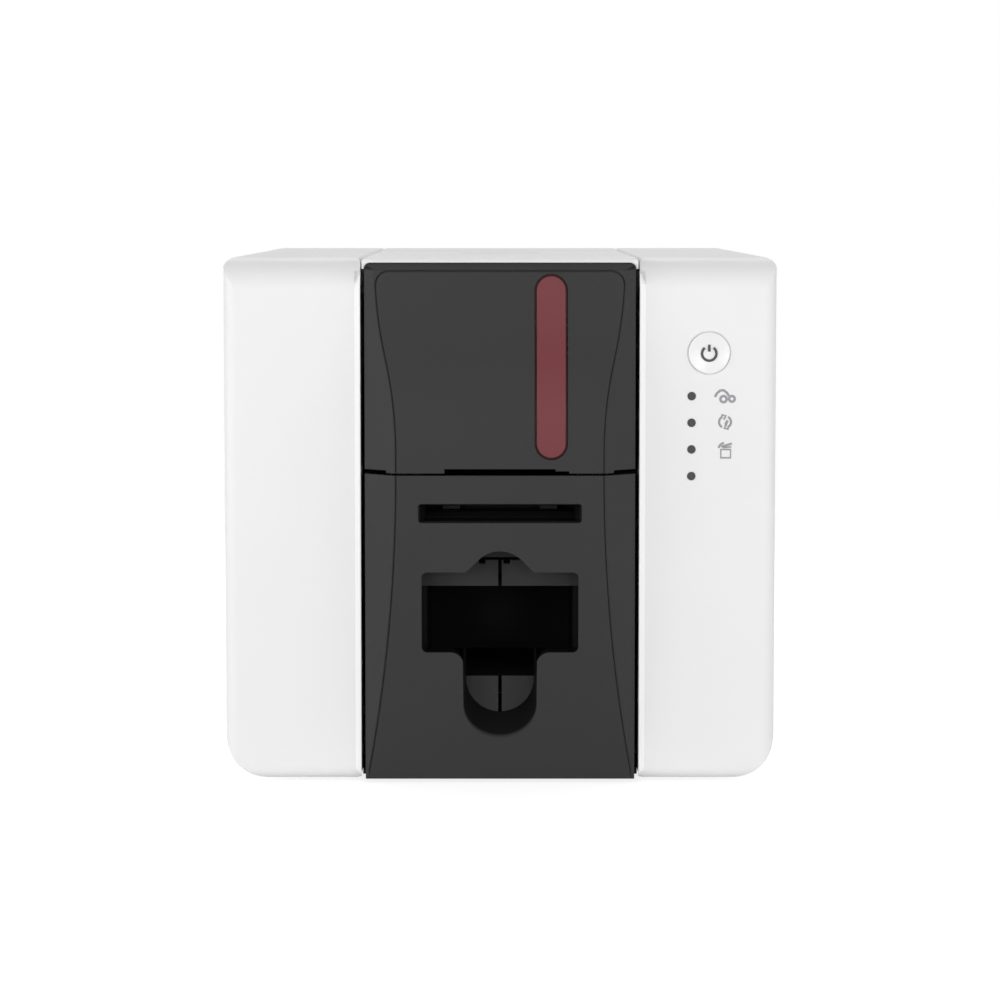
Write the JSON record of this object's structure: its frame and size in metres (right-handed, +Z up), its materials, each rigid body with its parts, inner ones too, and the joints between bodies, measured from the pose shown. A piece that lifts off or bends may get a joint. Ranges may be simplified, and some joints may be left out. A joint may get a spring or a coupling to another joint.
{
  "type": "card printer",
  "caption": "Desktop printer for plastic ID cards, with a hinged lid that carries the print head, a rear card feeder and a front output bin.",
  "frame": {"origin": "on the table, under the middle of the case", "axes": "+X to the right seen from the front, +Y from the front to the back, +Z up"},
  "size_m": [0.205, 0.31, 0.196],
  "materials": {
    "white_case": "fine moulded satin",
    "dark_case": "fine moulded texture",
    "tinted_window": "translucent tinted plastic",
    "dark_inner": "moulded",
    "grey_inner": "moulded",
    "sheet_steel": "sheet steel, plated",
    "steel": "ground",
    "bronze": "sintered",
    "aluminium": "extruded",
    "gear_plastic": "moulded",
    "rubber_dark": "ground",
    "rubber_grey": "ground",
    "tacky_blue": "tacky",
    "ribbon_film": "dyed film",
    "board": "solder mask",
    "socket_metal": "plated",
    "black_plastic": "moulded",
    "ceramic": "glazed",
    "light_pipe": "smoked",
    "motor_black": "enamel",
    "brass_gear": "turned"
  },
  "bodies": {
    "base": {"base_tray": "dark_inner", "left_cover": "white_case", "right_cover": "white_case", "rear_panel": "white_case", "rear_top_cover": "white_case", "front_panel": "dark_case", "card_bin": "grey_inner", "left_frame": "sheet_steel", "right_frame": "sheet_steel", "transport_deck": "dark_inner", "card_feeder": "dark_inner", "gear_plate": "sheet_steel", "shaft_bushes": "bronze", "hinge_shaft": "steel", "frame_pins": "steel", "guide_rods": "steel", "ribbon_web": "ribbon_film", "transport_motor": "motor_black", "ribbon_motor": "steel", "main_board": "board", "data_sockets": "socket_metal", "power_inlet": "black_plastic", "control_board": "board", "status_lights": "light_pipe", "rubber_feet": "rubber_dark", "screws": "steel"},
    "lid": {"lid_shell": "white_case", "lid_front": "dark_case", "lid_window": "tinted_window", "lid_liner": "dark_inner", "head_springs": "steel"},
    "latch": {"latch_bar": "grey_inner"},
    "release": {"release_button": "white_case"},
    "head": {"head_carriage": "dark_inner", "heat_sink": "aluminium", "print_head": "ceramic"},
    "power_key": {"power_button": "white_case"},
    "rear_door": {"feeder_door": "white_case"},
    "gate": {"gate_gauge": "steel"},
    "flap": {"diverter": "grey_inner"},
    "entry_roller": {"entry_shaft": "steel", "entry_tyres": "rubber_grey"},
    "platen_roller": {"platen_shaft": "steel", "platen_tyre": "rubber_dark"},
    "transport_roller": {"transport_shaft": "steel", "transport_tyre": "rubber_dark"},
    "pick_roller": {"pick_shaft": "steel", "pick_tyre": "rubber_dark"},
    "front_idler": {"idler_front": "gear_plastic"},
    "middle_idler": {"idler_middle": "gear_plastic"},
    "long_idler": {"idler_long": "gear_plastic"},
    "pinch_roller": {"entry_pinch": "rubber_grey"},
    "cleaner": {"cleaning_roller": "tacky_blue"},
    "drive_pinion": {"motor_pinion": "brass_gear"},
    "film_pinion": {"ribbon_pinion": "brass_gear"},
    "takeup": {"takeup_spool": "gear_plastic", "takeup_ribbon": "ribbon_film", "takeup_gear": "gear_plastic"},
    "supply": {"supply_spool": "gear_plastic", "supply_ribbon": "ribbon_film"}
  },
  "joints": [
    {"name": "lid_hinge", "type": "hinge", "parent": "base", "child": "lid", "pos_m": [0, 0.052, 0.1895], "axis": [-1, 0, 0], "range_deg": [0, 72]},
    {"name": "release_press", "type": "slide", "parent": "lid", "child": "release", "axis": [0, 0, -1], "range_m": [0, 0.0024], "stiffness_N_per_m": 250, "springref_m": -0.003},
    {"name": "latch_turn", "type": "hinge", "parent": "lid", "child": "latch", "pos_m": [0, -0.03, 0.172], "axis": [-1, 0, 0], "range_deg": [0, 12.6], "stiffness_Nm_per_rad": 0.05, "springref_deg": -11.46},
    {"name": "head_lift", "type": "slide", "parent": "lid", "child": "head", "axis": [0, 0, 1], "range_m": [0, 0.002], "stiffness_N_per_m": 1500, "springref_m": -0.004, "deforming": ["head_springs"]},
    {"name": "power_press", "type": "slide", "parent": "base", "child": "power_key", "axis": [0, 1, 0], "range_m": [0, 0.0012], "stiffness_N_per_m": 400, "springref_m": -0.001},
    {"name": "door_hinge", "type": "hinge", "parent": "base", "child": "rear_door", "pos_m": [0, 0.1495, 0.1055], "axis": [-1, 0, 0], "range_deg": [0, 85]},
    {"name": "gate_set", "type": "slide", "parent": "base", "child": "gate", "axis": [0, 0, 1], "range_m": [0, 0.0008]},
    {"name": "flap_swing", "type": "hinge", "parent": "base", "child": "flap", "pos_m": [0, -0.098, 0.096], "axis": [-1, 0, 0], "range_deg": [0, 10], "stiffness_Nm_per_rad": 0.03, "springref_deg": -11.46},
    {"name": "platen_spin", "type": "hinge", "parent": "base", "child": "platen_roller", "pos_m": [0, -0.062, 0.095], "axis": [1, 0, 0], "continuous": true},
    {"name": "entry_spin", "type": "hinge", "parent": "base", "child": "entry_roller", "pos_m": [0, -0.118, 0.095], "axis": [1, 0, 0], "continuous": true},
    {"name": "transport_spin", "type": "hinge", "parent": "base", "child": "transport_roller", "pos_m": [0, -0.006, 0.095], "axis": [1, 0, 0], "continuous": true},
    {"name": "pick_spin", "type": "hinge", "parent": "base", "child": "pick_roller", "pos_m": [0, 0.078, 0.095], "axis": [1, 0, 0], "continuous": true},
    {"name": "front_idler_spin", "type": "hinge", "parent": "base", "child": "front_idler", "pos_m": [0, -0.09, 0.095], "axis": [1, 0, 0], "continuous": true},
    {"name": "middle_idler_spin", "type": "hinge", "parent": "base", "child": "middle_idler", "pos_m": [0, -0.034, 0.095], "axis": [1, 0, 0], "continuous": true},
    {"name": "long_idler_spin", "type": "hinge", "parent": "base", "child": "long_idler", "pos_m": [0, 0.036, 0.095], "axis": [1, 0, 0], "continuous": true},
    {"name": "pinion_spin", "type": "hinge", "parent": "base", "child": "drive_pinion", "pos_m": [0, -0.034, 0.071], "axis": [1, 0, 0], "continuous": true},
    {"name": "pinch_spin", "type": "hinge", "parent": "base", "child": "pinch_roller", "pos_m": [0, -0.118, 0.1073], "axis": [1, 0, 0], "continuous": true},
    {"name": "cleaner_spin", "type": "hinge", "parent": "base", "child": "cleaner", "pos_m": [0, -0.006, 0.1093], "axis": [1, 0, 0], "continuous": true},
    {"name": "takeup_spin", "type": "hinge", "parent": "base", "child": "takeup", "pos_m": [0, -0.108, 0.1335], "axis": [1, 0, 0], "continuous": true},
    {"name": "supply_spin", "type": "hinge", "parent": "base", "child": "supply", "pos_m": [0, -0.015, 0.1335], "axis": [1, 0, 0], "continuous": true},
    {"name": "film_pinion_spin", "type": "hinge", "parent": "base", "child": "film_pinion", "pos_m": [0, -0.084, 0.1335], "axis": [1, 0, 0], "continuous": true}
  ],
  "couplings": [
    {"joint": "latch_turn", "follows": "release_press", "rad_per_m": 90.903},
    {"joint": "entry_spin", "follows": "platen_spin", "ratio": 1},
    {"joint": "transport_spin", "follows": "platen_spin", "ratio": 1},
    {"joint": "pick_spin", "follows": "platen_spin", "ratio": 1},
    {"joint": "front_idler_spin", "follows": "platen_spin", "ratio": -0.75},
    {"joint": "middle_idler_spin", "follows": "platen_spin", "ratio": -0.75},
    {"joint": "long_idler_spin", "follows": "platen_spin", "ratio": -0.4},
    {"joint": "pinion_spin", "follows": "platen_spin", "ratio": 1.5},
    {"joint": "pinch_spin", "follows": "platen_spin", "ratio": -1.4},
    {"joint": "cleaner_spin", "follows": "platen_spin", "ratio": -1},
    {"joint": "supply_spin", "follows": "takeup_spin", "ratio": 0.73333},
    {"joint": "film_pinion_spin", "follows": "takeup_spin", "ratio": -2}
  ]
}
